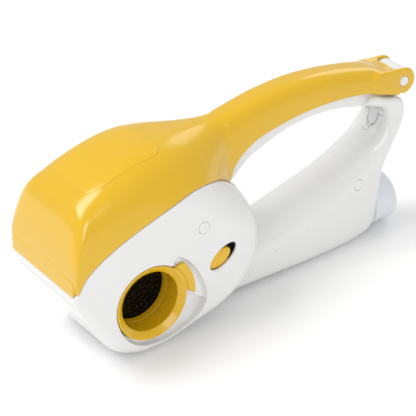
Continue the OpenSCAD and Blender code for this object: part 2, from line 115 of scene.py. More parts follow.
# Lid, front to back: x, skirt edge z, crest z, half width, squareness, lean
LID = [(-54.8, 64.6, 66.6, 40.5, 9, 0), (-53.4, 66.5, 76, 41.4, 8, 0.01),
       (-51, 70, 88, 42, 7, 0.02), (-47.5, 75, 100, 42, 6.5, 0.05), (-43.5, 79, 110.5, 42, 6, 0.09),
       (-39, 82, 117.5, 42, 5.5, 0.13), (-31, 86.5, 122.6, 42, 5, 0.16), (-16, 93, 129, 42, 4.6, 0.18),
       (4, 99.5, 134.6, 42, 4.2, 0.2), (23, 104.6, 136.6, 41.5, 3.8, 0.24),
       (38, 107.4, 135.8, 39.5, 3.4, 0.3), (52, 105.8, 133.8, 35.5, 3, 0.34),
       (64, 101, 132, 29, 2.8, 0.3), (74, 94.5, 131, 22, 2.7, 0.2), (82, 88, 131, 16, 2.8, 0.05)]
LEVER = [(82, 88, 131, 16, 2.8, 0.05), (88, 96, 131.8, 14.4, 3.2, 0.02),
         (96, 103, 132.8, 14, 3.4, 0.03), (107, 108.8, 134.6, 14, 3.4, 0.04),
         (122, 112.4, 136.4, 14, 3.4, 0.05), (145, 115.2, 137, 14, 3.4, 0.05),
         (168, 115.2, 134.8, 14, 3.4, 0.05), (190, 112.8, 130.6, 14, 3.4, 0.05),
         (207, 108.6, 126, 14, 3.6, 0.04), (218, 104.6, 121.6, 14, 4, 0.02),
         (225.9, 101.6, 120, 14, 4, 0.02)]
# Head, arch and arm outlines: x, z, edge radius
HEAD = [(10, 0.6, 13), (34, 6.2, 13), (57, 12.4, 13), (76, 24, 13), (87, 42, 13), (90, 60, 14),
        (88, 75, 19), (82.5, 87.6, 25), (75, 95.4, 26), (66, 104, 26), (56.5, 113.5, 26),
        (41, 122, 24), (24, 126, 22), (0, 122, 12), (-30, 114, 6), (-46, 100, 5), (-51, 84, 5),
        (-54.2, 66, 5), (-51, 54, 6.5), (-45.8, 41, 8)]
BELLY_START, BELLY_END = 205, 262
BELLY_R = 40.0
ARCH = [(190, 8, 5), (199, 12, 5), (203.5, 28, 5), (206.5, 40, 5), (211, 54, 5), (219.5, 64.5, 5),
        (227.5, 77, 5), (231, 88, 5), (230, 96, 5), (225, 100, 3), (215, 103, 3), (204, 107, 3),
        (198, 104, 4), (204, 100, 4), (211, 96.5, 5), (215, 91.5, 6), (215, 86.5, 6), (213, 81, 6),
        (209.5, 75.5, 6), (204, 69, 6), (197, 62, 6), (188, 54, 6), (184, 34, 6)]
ARM = [(74, 88, 3), (80, 80, 3), (88, 83, 3), (103, 94.5, 3), (128, 103.6, 3), (152, 107, 3),
       (175, 105.5, 3), (194, 101, 3), (206, 99, 3), (211, 104, 3), (206, 113, 3), (194, 117, 3),
       (170, 124, 3), (145, 127, 3), (120, 125, 3), (100, 117.5, 3), (84, 104, 3)]
# Grip, front to back: x, sole z, widest z, crest z, half width
GRIP = [(56, 6, 14, 40, 20), (84, 3.8, 19, 41, 21.5), (112, 2.2, 24.5, 45.5, 22),
        (140, 0.4, 32, 52.4, 22), (166, -0.5, 39.5, 59, 21.5), (180, -0.5, 45.5, 64, 20.8),
        (192, 1, 53, 69.6, 20), (200, 5, 60, 73.2, 18.5), (203, 20, 62.5, 74.4, 18.2),
        (206, 42, 65.5, 75.4, 18), (210, 52, 70, 77.5, 17.6), (215, 60, 75, 80.5, 17.2)]


# ---------------------------------------------------------------- curves and distances
def spline(points, closed=False, steps=10):
    """A Catmull-Rom curve through the points."""
    p = np.array(points, float)
    n = len(p)
    out = []
    for i in range(n if closed else n - 1):
        if closed:
            a, b, c, d = (p[(i + k) % n] for k in (-1, 0, 1, 2))
        else:
            a, b, c, d = p[max(i - 1, 0)], p[i], p[i + 1], p[min(i + 2, n - 1)]
        for k in range(steps):
            t = k / steps
            out.append(0.5 * (2 * b + (c - a) * t + (2 * a - 5 * b + 4 * c - d) * t * t
                              + (3 * b - a - 3 * c + d) * t ** 3))
    if not closed:
        out.append(p[-1])
    return np.array(out)


def row_curve(rows, steps=12):
    """Rows made into a dense table whose first column, x, always grows."""
    dense = spline(rows, steps=steps)
    keep = np.concatenate([[True], np.diff(np.maximum.accumulate(dense[:, 0])) > 1e-6])
    return dense[keep]


def column(table, x, i):
    """One column of a table of sections, read at x."""
    return np.interp(x, table[:, 0], table[:, i])


def outline_field(outline, x, z):
    """Signed distance to a closed outline, and the edge radius at its nearest point."""
    px, pz, pr = outline.T
    best = np.full(x.shape, 1e9)
    radius = np.zeros(x.shape)
    inside = np.zeros(x.shape, bool)
    for i in range(len(px)):
        j = (i + 1) % len(px)
        ex, ez = px[j] - px[i], pz[j] - pz[i]
        t = np.clip(((x - px[i]) * ex + (z - pz[i]) * ez) / (ex * ex + ez * ez + 1e-12), 0, 1)
        d = np.hypot(x - px[i] - t * ex, z - pz[i] - t * ez)
        near = d < best
        best = np.where(near, d, best)
        radius = np.where(near, pr[i] + t * (pr[j] - pr[i]), radius)
        if pz[i] != pz[j]:
            cross = ((pz[i] > z) != (pz[j] > z)) & (x < ex * (z - pz[i]) / ez + px[i])
            inside ^= cross
    return np.where(inside, -best, best), radius


def smooth_min(a, b, k):
    """Two shapes joined, with a fillet about k wide."""
    h = np.maximum(k - np.abs(a - b), 0) / k
    return np.minimum(a, b) - h * h * k / 4


def round_max(a, b, r):
    """The meeting of two shapes, with its outer edge rounded to radius r."""
    return (np.minimum(np.maximum(a, b), -r)
            + np.hypot(np.maximum(a + r, 0), np.maximum(b + r, 0)))


def cut(shape, tool, r=0.6):
    """A shape with a tool taken out of it, the new edge rounded to radius r."""
    return round_max(shape, -tool, r)


def disc_form(x, z, at, r):
    """Distance to a disc about a point of the side view."""
    return np.hypot(x - at[0], z - at[1]) - r


def turned(x, z, at, angle):
    """Coordinates along and across a line through a point, turned by angle."""
    u = (x - at[0]) * math.cos(angle) + (z - at[1]) * math.sin(angle)
    v = -(x - at[0]) * math.sin(angle) + (z - at[1]) * math.cos(angle)
    return u, v


def oval_form(x, z, at, half, angle):
    """About the distance to an ellipse whose long axis is turned by angle."""
    u, v = turned(x, z, at, angle)
    f = np.hypot(u / half[0], v / half[1])
    slope = np.hypot(u / half[0] ** 2, v / half[1] ** 2) + 1e-6
    return np.where(f > 0.3, f * (f - 1) / slope, -half[1])


# ---------------------------------------------------------------- meshes
def sample(low, high, step, form):
    """The field of a form over a box of grid points. form(x, z) gives a function of y."""
    xs, ys, zs = (np.arange(a, b + step, step) for a, b in zip(low, high))
    at = form(*np.meshgrid(xs, zs, indexing="ij"))
    field = np.empty((len(xs), len(ys), len(zs)), np.float32)
    for j, y in enumerate(ys):
        field[:, j, :] = at(y)
    return field, np.array([xs[0], ys[0], zs[0]]), step


def skin_of(field, corner, step):
    """Surface nets: a point in each cell that the surface crosses, a quad for each crossed edge."""
    inside = field < 0
    size = np.array(field.shape)
    stride = np.array([size[1] * size[2], size[2], 1])
    cells, points, flips = [], [], []
    for axis in range(3):
        a = np.moveaxis(inside, axis, 0)
        at = np.argwhere(a[:-1] != a[1:])
        order = [axis] + [k for k in range(3) if k != axis]
        at = at[:, np.argsort(order)]
        other = at.copy()
        other[:, axis] += 1
        fa = field[tuple(at.T)]
        fb = field[tuple(other.T)]
        point = at.astype(float)
        point[:, axis] += fa / (fa - fb)
        u, v = [(1, 2), (2, 0), (0, 1)][axis]
        flat = at @ stride
        corners = [flat - stride[u] - stride[v], flat - stride[v], flat, flat - stride[u]]
        cells.append(np.stack(corners, 1))
        points.append(point)
        flips.append(fa > 0)
    cells = np.concatenate(cells)
    points = np.concatenate(points)
    flip = np.concatenate(flips)
    _, index = np.unique(cells, return_inverse=True)
    index = index.reshape(cells.shape)
    count = np.bincount(index.ravel())
    every = np.repeat(points, 4, axis=0)
    verts = np.stack([np.bincount(index.ravel(), every[:, k]) / count for k in range(3)], 1)
    faces = index.copy()
    faces[flip] = faces[flip][:, ::-1]
    return settle(relax(verts, faces), field) * step + corner, faces


def settle(verts, field, rounds=2):
    """Moves points onto the zero surface of the field, along its slope."""
    for _ in range(rounds):
        base = np.clip(np.floor(verts).astype(int), 0, np.array(field.shape) - 2)
        f = np.clip(verts - base, 0, 1)
        value = np.zeros(len(verts))
        slope = np.zeros_like(verts)
        for corner in range(8):
            d = np.array([corner >> 2 & 1, corner >> 1 & 1, corner & 1])
            w = np.where(d, f, 1 - f)
            sample_at = field[tuple((base + d).T)]
            value += sample_at * w.prod(1)
            for k in range(3):
                slope[:, k] += sample_at * (2 * d[k] - 1) * np.delete(w, k, 1).prod(1)
        size = np.maximum((slope ** 2).sum(1), 0.01)
        verts = verts - slope * (np.clip(value / size, -1, 1))[:, None]
    return verts


def relax(verts, faces, rounds=2):
    """Evens out the small steps that the grid leaves, without shrinking the shape."""
    edges = np.concatenate([faces[:, [0, 1]], faces[:, [1, 2]], faces[:, [2, 3]], faces[:, [3, 0]]])
    for k in range(rounds * 2):
        acc = np.zeros_like(verts)
        n = np.zeros(len(verts))
        for a, b in ((0, 1), (1, 0)):
            np.add.at(acc, edges[:, a], verts[edges[:, b]])
            np.add.at(n, edges[:, a], 1)
        mean = acc / np.maximum(n, 1)[:, None]
        verts = verts + (mean - verts) * (0.5 if k % 2 == 0 else -0.52)
    return verts


def to_row(verts):
    """Points in the drum frame, in millimetres, as points in the row frame, in metres."""
    return np.asarray(verts, float) * MM + [MID_X, 0, 0]


def build_mesh(name, verts, faces, smooth=True):
    """A new object from points in the drum frame, in millimetres."""
    mesh = bpy.data.meshes.new(name)
    mesh.from_pydata(to_row(verts).tolist(), [], [list(map(int, f)) for f in faces])
    mesh.update()
    obj = bpy.data.objects.new(name, mesh)
    bpy.context.scene.collection.objects.link(obj)
    if smooth:
        mesh.shade_smooth()
    return obj


def finish_piece(obj, material, body, slot, *replaced):
    obj.data.materials.clear()
    obj.data.materials.append(material)
    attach(obj, body)
    if replaced:
        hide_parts(*replaced)
    return obj


def sharpen(obj, angle=35):
    """Smooth shading, with edges sharper than the angle kept crisp."""
    obj.data.shade_smooth()
    bm = bmesh.new()
    bm.from_mesh(obj.data)
    for e in bm.edges:
        if len(e.link_faces) == 2 and e.calc_face_angle(0) > math.radians(angle):
            e.smooth = False
    bm.to_mesh(obj.data)
    bm.free()


def half_of(obj, name, side):
    """The part of obj on one side of the seam plane, y = 0, as a new object."""
    part = bpy.data.objects.new(name, obj.data.copy())
    bpy.context.scene.collection.objects.link(part)
    bm = bmesh.new()
    bm.from_mesh(part.data)
    bmesh.ops.bisect_plane(bm, geom=bm.verts[:] + bm.edges[:] + bm.faces[:], dist=1e-7,
                           plane_co=(0, 0, 0), plane_no=(0, -side, 0), clear_outer=True)
    bm.to_mesh(part.data)
    bm.free()
    return part


def lathe(name, profile, at, axis="y", n=96):
    """Turns a closed profile of (distance along the axis, radius) about the axis through at."""
    p = np.array(profile, float)
    m = len(p)
    verts = []
    for k in range(n):
        a = 2 * math.pi * k / n
        for along, r in p:
            u, v = r * math.cos(a), r * math.sin(a)
            if axis == "y":
                verts.append((at[0] + u, along, at[1] + v))
            else:
                verts.append((along, at[0] + u, at[1] + v))
    faces = [(k * m + i, k * m + (i + 1) % m, (k + 1) % n * m + (i + 1) % m, (k + 1) % n * m + i)
             for k in range(n) for i in range(m)]
    obj = build_mesh(name, verts, faces)
    bm = bmesh.new()
    bm.from_mesh(obj.data)
    bmesh.ops.remove_doubles(bm, verts=bm.verts, dist=1e-7)
    bmesh.ops.recalc_face_normals(bm, faces=bm.faces)
    bm.to_mesh(obj.data)
    bm.free()
    sharpen(obj)
    return obj


def rounded(points, r=0.5, steps=4):
    """A closed profile whose corners are rounded."""
    p = [np.array(q, float) for q in points]
    out = []
    for i, b in enumerate(p):
        a, c = p[i - 1], p[(i + 1) % len(p)]
        la, lc = np.linalg.norm(a - b), np.linalg.norm(c - b)
        cut_back = min(r, la * 0.45, lc * 0.45)
        s, e = b + (a - b) / la * cut_back, b + (c - b) / lc * cut_back
        for k in range(steps + 1):
            t = k / steps
            out.append((1 - t) ** 2 * s + 2 * t * (1 - t) * b + t * t * e)
    return out


def unit(form, step):
    """A rough field turned into a distance, by dividing it by its own slope."""
    def at(y):
        f = form(y)
        gx, gz = np.gradient(f, step)
        gy = (form(y + 0.05) - form(y - 0.05)) / 0.1
        return f / np.sqrt(gx * gx + gy * gy + gz * gz + 1e-4)
    return at


def shape(name, low, high, step, form, seam=None):
    """One solid from its field, or two half pieces of it, either side of the seam plane."""
    verts, faces = skin_of(*sample(low, high, step, form))
    obj = build_mesh(name, verts, faces)
    if seam is None:
        return obj
    halves = [half_of(obj, seam[0], -1), half_of(obj, seam[1], 1)]
    bpy.data.objects.remove(obj)
    return halves


# ---------------------------------------------------------------- white housing
def head_outline():
    """The side outline of the head: its crown, then the round belly about the drum."""
    belly = [(BELLY_R * math.cos(a), DRUM_Z + BELLY_R * math.sin(a))
             for a in np.radians(np.linspace(BELLY_START, BELLY_END, 40))]
    radius = [9 + 4 * min(1, max(0, (x + 37) / 20)) for x, _ in belly]
    return np.array([tuple(p) for p in spline(HEAD)] + [(x, z, r) for (x, z), r in zip(belly, radius)])


LID_TABLE = row_curve(LID + LEVER[1:])
GRIP_TABLE = row_curve(GRIP)


def plate(outline, x, z, width):
    """An outline given a thickness across Y, with its own edge radii."""
    d, r = outline_field(outline, x, z)
    return lambda y: round_max(d, abs(y) - width, r)


def grip_field(x, z, step):
    """The long grip: a domed top over a squarer lower half, flat along its sole."""
    z0, zc, z1, w = (column(GRIP_TABLE, x, i) for i in range(1, 5))
    p = np.where(z > zc, 2.2, 5.0)
    v = np.abs(np.where(z > zc, (z - zc) / (z1 - zc), (zc - z) / (zc - z0)))
    size = np.minimum(w, z1 - zc)
    start, end = GRIP[0][0], GRIP[-1][0]
    ends = np.abs(x - (start + end) / 2) - (end - start) / 2
    body = unit(lambda y: ((((abs(y) / w) ** p + v ** p) ** (1 / p)) - 1) * size, step)
    return lambda y: round_max(round_max(body(y), ends, 3), -z, 1.0)


def recess_parts(x, z):
    """Outline of the thumb recess, its ledge line, how far its floor rises, and its collar."""
    edge = row_curve(RECESS)
    turn = np.degrees(np.arctan2(z - DRUM_Z, x))
    r = np.hypot(x, z - DRUM_Z)
    reach = np.interp(turn, edge[:, 0], edge[:, 1])
    bend = np.interp(turn, edge[:, 0], np.gradient(edge[:, 1], np.radians(edge[:, 0])))
    gap = (r - reach) / np.sqrt(1 + (bend / reach) ** 2)
    off = np.radians(np.maximum(turn - RECESS[-1][0], RECESS[0][0] - turn)) * r
    outline = round_max(gap, off, 2.5)
    ledge = (x - LEDGE_AT[0]) * LEDGE_NORMAL[0] + (z - LEDGE_AT[1]) * LEDGE_NORMAL[1]
    # Under the ring, from 80 to 160 degrees below the level, the floor rises by 4 mm
    rise = 4 * np.clip((-turn - 80) / 80, 0, 1)
    return outline, ledge, rise, COLLAR_R - r


def carve_recess(shell, whole, recess, y):
    """A shelf where the lug rests, a ledge, and the deeper crescent that the lug turns into."""
    outline, ledge, rise, collar = recess
    shelf = round_max(outline, y - SHELF_Y, 1.5)
    crescent = round_max(np.maximum(outline, ledge), y - RECESS_FLOOR + rise, 1.0)
    tool = round_max(np.minimum(shelf, crescent), np.minimum(collar, y - COLLAR_FRONT), 0.4)
    liner = np.minimum(outline - LINER_WALL, -collar - 2.6)
    liner = np.maximum(np.maximum(liner, whole + 0.5), np.maximum(LINER_FRONT - y, y - LINER_BACK))
    return cut(np.minimum(shell, liner), tool, 0.8)


def key_field(y, z):
    """Distance to the upright oblong of the power key."""
    return np.hypot(y, np.maximum(np.abs(z - KEY_Z) - KEY_HALF, 0)) - KEY_R


def light_field(x, y, z):
    """Distance to the charge light: a round-nosed rod along X."""
    return np.sqrt(y * y + (z - LIGHT_Z) ** 2 + np.minimum(x - LIGHT_X, 0) ** 2) - LIGHT_R


HOUSING_STEP = 0.5


def above_skirt(x, z):
    """Positive above the line where the lid's skirt meets the head."""
    edge = column(LID_TABLE, np.clip(x, LID[0][0], LID_END), 1)
    slope = np.gradient(edge, HOUSING_STEP, axis=0)
    above = (z - edge + LID_GAP) / np.sqrt(1 + slope * slope)
    return np.where(x > LID_END, np.maximum(above, -3 - 2 * (x - LID_END)), above)


def handle_form(x, z):
    """Grip, rear arch, upper arm and hinge block, blended together."""
    grip = grip_field(x, z, HOUSING_STEP)
    arch = plate(spline(ARCH, closed=True), x, z, ARCH_HALF)
    arm = plate(spline(ARM, closed=True), x, z, HINGE_HALF)
    web = round_max(np.abs(x - 217) - 14.2, np.abs(z - 106.5) - 5.43, 1.5)
    knuckle = disc_form(x, z, (HINGE_X, HINGE_Z), KNUCKLE_R)
    pin = disc_form(x, z, (HINGE_X, HINGE_Z), PIN_R)
    ears = disc_form(x, z, (HINGE_X, HINGE_Z), EAR_R + EAR_CLEARANCE)

    def at(y):
        handle = smooth_min(grip(y), arch(y), 5)
        handle = smooth_min(handle, arm(y), 6)
        hinge = round_max(smooth_min(web, knuckle, 3), abs(y) - HINGE_HALF, 0.8)
        handle = smooth_min(handle, hinge, 2)
        if abs(y) > 10:
            handle = cut(handle, round_max(ears, 10.4 - abs(y), 0.5), 0.6)
        return cut(handle, pin, 0.3)
    return at


def side_cuts(x, z):
    """Everything let into the near side: recess, ring bore, lock slot and screw covers."""
    recess = recess_parts(x, z)
    bore = disc_form(x, z, (0, DRUM_Z), RING_R + 0.45)
    lock = oval_form(x, z, LOCK_AT, LOCK_SLOT, LOCK_ANGLE)
    plugs = [(disc_form(x, z, (p[0], p[2]), PLUG_R), p[1] + PLUG_DEPTH) for p in PLUGS]

    def at(shell, whole, y):
        if y < -30:
            shell = carve_recess(shell, whole, recess, y)
            shell = cut(shell, np.maximum(bore, y + 30), 0.5)
            shell = cut(shell, np.maximum(lock, y + 30), 0.8)
        for disc, floor in plugs:
            if y < floor + 2:
                shell = cut(shell, np.maximum(disc, y - floor), 0.45)
        return shell
    return at


def rear_cuts(shell, x, y, z):
    """The wells of the power key, the charge light and the rear cap."""
    key = key_field(y, z) - 0.5
    shell = cut(shell, np.maximum(key, np.abs(x - KEY_WELL_X) - KEY_WELL_HALF), 0.5)
    lens = light_field(x, y, z) - 0.12
    shell = cut(shell, np.maximum(lens, x - LIGHT_END - 0.2), 0.2)
    rear = np.hypot(y, z - CAP_Z) - CAP_R - 0.5
    return cut(shell, np.maximum(rear, CAP_START - 0.4 - x), 0.5)


def housing_form(x, z):
    """The white moulding: a hollow head, cut open under the lid, and the loop handle."""
    head = plate(head_outline(), x, z, HEAD_HALF)
    above = above_skirt(x, z)
    handle_at = handle_form(x, z)
    carve_side = side_cuts(x, z)

    def at(y):
        whole = head(y)
        shell = round_max(whole, above, 0.7)
        handle = np.maximum(handle_at(y), -(whole + 0.3))
        shell = cut(shell, whole + WALL, 0.4)
        shell = smooth_min(shell, handle, 3)
        return rear_cuts(carve_side(shell, whole, y), x, y, z)
    return at


# ---------------------------------------------------------------- yellow lid and lever
YELLOW_STEP = 0.5


def arch_value(x, y, z, thin):
    """The lid's and lever's arched section, drawn in by thin; zero on its surface."""
    z0, z1, w, p, lean = (column(LID_TABLE, x, i) for i in range(1, 6))
    z1, w = z1 - thin, w - thin
    up = np.clip((z - z0) / (z1 - z0), 0, 3)
    side = np.abs(y) / (w * (1 - lean * np.minimum(up, 1)))
    return ((side ** p + up ** p) ** (1 / p) - 1) * np.minimum(w, z1 - z0)


def lever_form(x, z):
    """Lid and lever as one moulding, open below, with the two ears that hold the hinge pin."""
    edge = column(LID_TABLE, x, 1)
    slope = np.gradient(edge, YELLOW_STEP, axis=0)
    skirt = (edge - z) / np.sqrt(1 + slope * slope)
    front = LID[0][0] - x
    back = x - LEVER[-1][0]
    # Towards the steep nose the inside is also moved back, so that the wall keeps its thickness
    nose = SKIN * np.clip((-27 - x) / 20, 0, 1)
    outer = unit(lambda y: arch_value(x, y, z, OUTER_INSET), YELLOW_STEP)
    inner = unit(lambda y: arch_value(x - nose, y, z, SKIN), YELLOW_STEP)
    u = np.clip((x - STEM_X) / (HINGE_X - STEM_X), 0, 1)
    stem_z = STEM_Z + (HINGE_Z - STEM_Z) * u
    stem_r = STEM_R + (EAR_R - STEM_R) * u
    ear = np.hypot(np.minimum(x - STEM_X, 0) + np.maximum(x - HINGE_X, 0), z - stem_z) - stem_r
    recess = disc_form(x, z, (HINGE_X, HINGE_Z), PIN_COVER_R)

    def at(y):
        body = round_max(outer(y), np.maximum(front, back), 0.5)
        wall = round_max(body, skirt, 0.8)
        wall = cut(wall, inner(y), 0.5)
        flank = round_max(ear, np.maximum(abs(y) - EAR_OUTER, EAR_INNER - abs(y)), 1.6)
        wall = smooth_min(wall, flank, 4.5)
        return cut(wall, np.maximum(recess, PIN_WELL - abs(y)), 0.5)
    return at


def lid_top(x, y):
    """Height of the lid's outer surface above (x, y)."""
    z0, z1, w, p, lean = (column(LID_TABLE, x, i) for i in range(1, 6))
    s = np.ones_like(x)
    for _ in range(12):
        side = np.clip(np.abs(y) / (w * (1 - lean * s)), 0, 0.999)
        s = (1 - side ** p) ** (1 / p)
    return z0 + (z1 - z0) * s


def inlay():
    """The panel let into the top of the lid: a rounded patch that stands a little proud."""
    half_x, half_y, proud = 28.0, 25.0, 0.25
    centre = -1.0
    squareness = 7.0
    t = np.linspace(0, 2 * math.pi, 288, endpoint=False)
    cx = np.sign(np.cos(t)) * np.abs(np.cos(t)) ** (2 / squareness)
    cy = np.sign(np.sin(t)) * np.abs(np.sin(t)) ** (2 / squareness)
    rings = [(1.0, -0.8), (1.0, proud * 0.3), (0.994, proud * 0.8), (0.986, proud)]
    rings += [(f, proud) for f in np.linspace(0.95, 0.02, 26)]
    verts = []
    for f, rise in rings:
        x = centre + half_x * f * cx
        y = half_y * f * cy
        verts += list(zip(x, y, lid_top(x, y) + rise))
    m = len(t)
    faces = [(k * m + i, k * m + (i + 1) % m, (k + 1) * m + (i + 1) % m, (k + 1) * m + i)
             for k in range(len(rings) - 1) for i in range(m)]
    faces.append(tuple((len(rings) - 1) * m + i for i in range(m)))
    return build_mesh("lid_panel", verts, faces)


# ---------------------------------------------------------------- ring, drum and lock
def ring_form(x, z):
    """The retaining ring: a funnel mouth, a tube, and the thumb lug that turns it."""
    r = np.hypot(x, z - DRUM_Z)
    turn = np.degrees(np.arctan2(z - DRUM_Z, x))
    # Both ends of the thumb lug are cut a little off the radius: angles in degrees
    high = 44 - (r - 28) * 1.08
    low = -4 - (r - 28.6) * 1.44
    ends = np.radians(np.maximum(turn - high, low - turn)) * r
    rim = r - RING_R
    lug = round_max(r - LUG_R, ends, 1.6)
    slope = (RING_R - 0.9 - RING_BORE) / FUNNEL
    size = math.hypot(1, slope)
    dish = 0.3 * np.clip((r - 27) / 6, 0, 1)
    groove_r, groove_half, groove_floor = 27.4, 0.3, -41.1
    groove_line = np.abs(r - groove_r) - groove_half

    def at(y):
        mouth = RING_BORE + (FUNNEL - HEAD_W - y) * slope
        bore = np.maximum(RING_BORE - r, (mouth - r) / size)
        lip = round_max(round_max(rim, np.maximum(-HEAD_W - y, y - LIP_BACK), 0.8), bore, 0.35)
        tube = round_max(rim + 1.8, np.maximum(-HEAD_W + 1 - y, y - TUBE_BACK), 0.5)
        tube = np.maximum(tube, bore)
        paddle = round_max(lug, np.maximum(-HEAD_W + 0.1 + dish - y, y - LUG_BACK), 0.7)
        paddle = round_max(paddle, bore, 0.35)
        paddle = cut(paddle, np.maximum(groove_line, y - groove_floor), 0.15)
        return np.minimum(np.minimum(lip, paddle), tube)
    return at


def lock_form(x, z):
    """The sliding button: an oval pad whose top slopes down towards the ring."""
    centre = (LOCK_AT[0] + LOCK_REST * math.cos(LOCK_ANGLE),
              LOCK_AT[1] + LOCK_REST * math.sin(LOCK_ANGLE))
    pad = oval_form(x, z, centre, LOCK_PAD, LOCK_ANGLE)
    u, v = turned(x, z, centre, LOCK_ANGLE)
    top = -HEAD_W + 0.7 + 0.12 * np.maximum(-u, 0) + 0.03 * v * v
    flange = np.maximum(np.abs(u) - 4, np.abs(v) - 7.4)
    flange_y, flange_half = -38.9, 0.6

    def at(y):
        button = round_max(pad, np.maximum(top - y, y - LOCK_BACK), 0.9)
        return np.minimum(button, round_max(flange, abs(y - flange_y) - flange_half, 0.2))
    return at


SHEET_R, SHEET_LOW, SHEET_HIGH = 23.5, -23.0, 19.0
HOLES_AROUND, HOLE_ROWS, HOLE_SIDES, HOLE_R = 34, 10, 8, 0.7


def punched_cell(a0, y0, pitch_a, pitch_y):
    """One cell of the sheet, in turn round its hole: on its edge, the rim, the burr, the hole."""
    ground, crest, pit = SHEET_R - 0.7, SHEET_R - 0.1, SHEET_R - 0.9
    points = []
    for k in range(HOLE_SIDES):
        t = 2 * math.pi * k / HOLE_SIDES + math.pi / HOLE_SIDES
        c, s = math.cos(t), math.sin(t)
        reach = 1 / max(abs(c), abs(s))
        da, dy = HOLE_R * c / SHEET_R, HOLE_R * s
        points += [(a0 + 0.5 * pitch_a * c * reach, y0 + 0.5 * pitch_y * s * reach, ground),
                   (a0 + da * 1.35, y0 + dy * 1.35, ground),
                   (a0 + da, y0 + dy, crest),
                   (a0 + da * 0.8, y0 + dy * 0.8, pit)]
    return [(r * math.cos(a), y, DRUM_Z + r * math.sin(a)) for a, y, r in points]


def drum_sheet():
    """The punched sheet: rows of small holes round the tube, each with a burr raised outwards; the
    burr faces carry a near-white painted glint.
    """
    pitch_a = 2 * math.pi / HOLES_AROUND
    pitch_y = (SHEET_HIGH - SHEET_LOW) / HOLE_ROWS
    verts, faces, bright = [], [], []
    for j in range(HOLE_ROWS):
        for i in range(HOLES_AROUND):
            first = len(verts)
            a0 = (i + 0.5 * (j % 2)) * pitch_a
            verts += punched_cell(a0, SHEET_LOW + (j + 0.5) * pitch_y, pitch_a, pitch_y)
            for k in range(HOLE_SIDES):
                here = first + 4 * k
                after = first + 4 * ((k + 1) % HOLE_SIDES)
                # Rim and burr faces take material slot 1, a near-white painted glint on the punched
                # edges
                for ring, painted_glint_slot in ((0, 0), (1, 1), (2, 1)):
                    faces.append((here + ring, after + ring, after + ring + 1, here + ring + 1))
                    bright.append(painted_glint_slot)
    obj = build_mesh("grating_sheet", verts, faces, smooth=False)
    obj.data.polygons.foreach_set("material_index", bright)
    bm = bmesh.new()
    bm.from_mesh(obj.data)
    bmesh.ops.remove_doubles(bm, verts=bm.verts, dist=0.00005)
    bm.to_mesh(obj.data)
    bm.free()
    skin = obj.modifiers.new("thickness", "SOLIDIFY")
    skin.thickness = 0.0003
    skin.offset = 0
    return obj


# ---------------------------------------------------------------- small fittings
def plug(name, at, y0, y1, r):
    """A short round plug along Y: a soft-edged face at y0, plain at y1."""
    out = 1 if y1 > y0 else -1
    edge = 0.45
    profile = [(y0, 0.001), (y0, r - edge)]
    for k in range(1, 6):
        a = math.pi / 2 * k / 6
        profile.append((y0 + out * edge * (1 - math.cos(a)), r - edge + edge * math.sin(a)))
    profile += [(y0 + out * edge, r), (y1, r), (y1, 0.001)]
    return lathe(name, profile, at)


def cap_form(x, z):
    """The soft-cornered rear cap, hollow, with a coin slot near its top."""
    bore_r, bore_end = 15.6, 218.4
    slot_up, slot_half, slot_reach, slot_floor = 11.5, 1.1, 5, 219.8
    up = z - CAP_Z

    def at(y):
        r = np.hypot(y, up)
        outer = round_max(r - CAP_R, np.maximum(CAP_START - x, x - CAP_END), 3.2)
        hollow = np.maximum(r - bore_r, x - bore_end)
        slot = np.maximum(np.abs(up - slot_up) - slot_half, abs(y) - slot_reach)
        slot = np.maximum(slot, slot_floor - x)
        return cut(cut(outer, hollow, 0.6), slot, 0.4)
    return at


def key_form(x, z):
    """The power key: an upright oblong pad that leans back with the wall it sits in."""
    lean = math.radians(KEY_LEAN)
    front = (KEY_X - x) * math.cos(lean) + (z - KEY_Z) * math.sin(lean)

    def at(y):
        face = front + 0.03 * y * y
        return round_max(key_field(y, z), np.maximum(face, x - 221), 0.8)
    return at


def light_form(x, z):
    """The charge light: a small dome low on the same wall."""
    def at(y):
        return np.maximum(light_field(x, y, z), x - LIGHT_END)
    return at


# ---------------------------------------------------------------- materials
class Surface:
    """Builds a procedural material node by node."""

    def __init__(self, name):
        self.material = bpy.data.materials.new(name)
        self.material.use_nodes = True
        self.tree = self.material.node_tree
        self.bsdf = self.tree.nodes["Principled BSDF"]
        self.place = self.add("ShaderNodeTexCoord").outputs["Object"]

    def add(self, kind, **settings):
        node = self.tree.nodes.new(kind)
        for key, value in settings.items():
            setattr(node, key, value)
        return node

    def link(self, a, b):
        self.tree.links.new(a, b)

    def noise(self, scale, detail=3.0, rough=0.55):
        node = self.add("ShaderNodeTexNoise")
        node.inputs["Scale"].default_value = scale
        node.inputs["Detail"].default_value = detail
        node.inputs["Roughness"].default_value = rough
        self.link(self.place, node.inputs["Vector"])
        return node.outputs["Fac"]

    def spread(self, source, low, high, start=0.3, end=0.7):
        node = self.add("ShaderNodeMapRange")
        node.inputs["From Min"].default_value = start
        node.inputs["From Max"].default_value = end
        node.inputs["To Min"].default_value = low
        node.inputs["To Max"].default_value = high
        self.link(source, node.inputs["Value"])
        return node.outputs["Result"]

    def blend(self, factor, a, b):
        """A colour between a and b; a may be another node's output."""
        node = self.add("ShaderNodeMix", data_type="RGBA")
        self.link(factor, node.inputs["Factor"])
        if isinstance(a, tuple):
            node.inputs["A"].default_value = (*a, 1)
        else:
            self.link(a, node.inputs["A"])
        node.inputs["B"].default_value = (*b, 1)
        return node.outputs["Result"]

    def worn_edge(self, start=0.54, end=0.62):
        geometry = self.add("ShaderNodeNewGeometry")
        return self.spread(geometry.outputs["Pointiness"], 0.0, 1.0, start, end)

    def bump(self, height, strength, distance):
        node = self.add("ShaderNodeBump")
        node.inputs["Strength"].default_value = strength
        node.inputs["Distance"].default_value = distance
        self.link(height, node.inputs["Height"])
        self.link(node.outputs["Normal"], self.bsdf.inputs["Normal"])

    def set(self, **values):
        for key, value in values.items():
            self.bsdf.inputs[key.replace("_", " ")].default_value = value


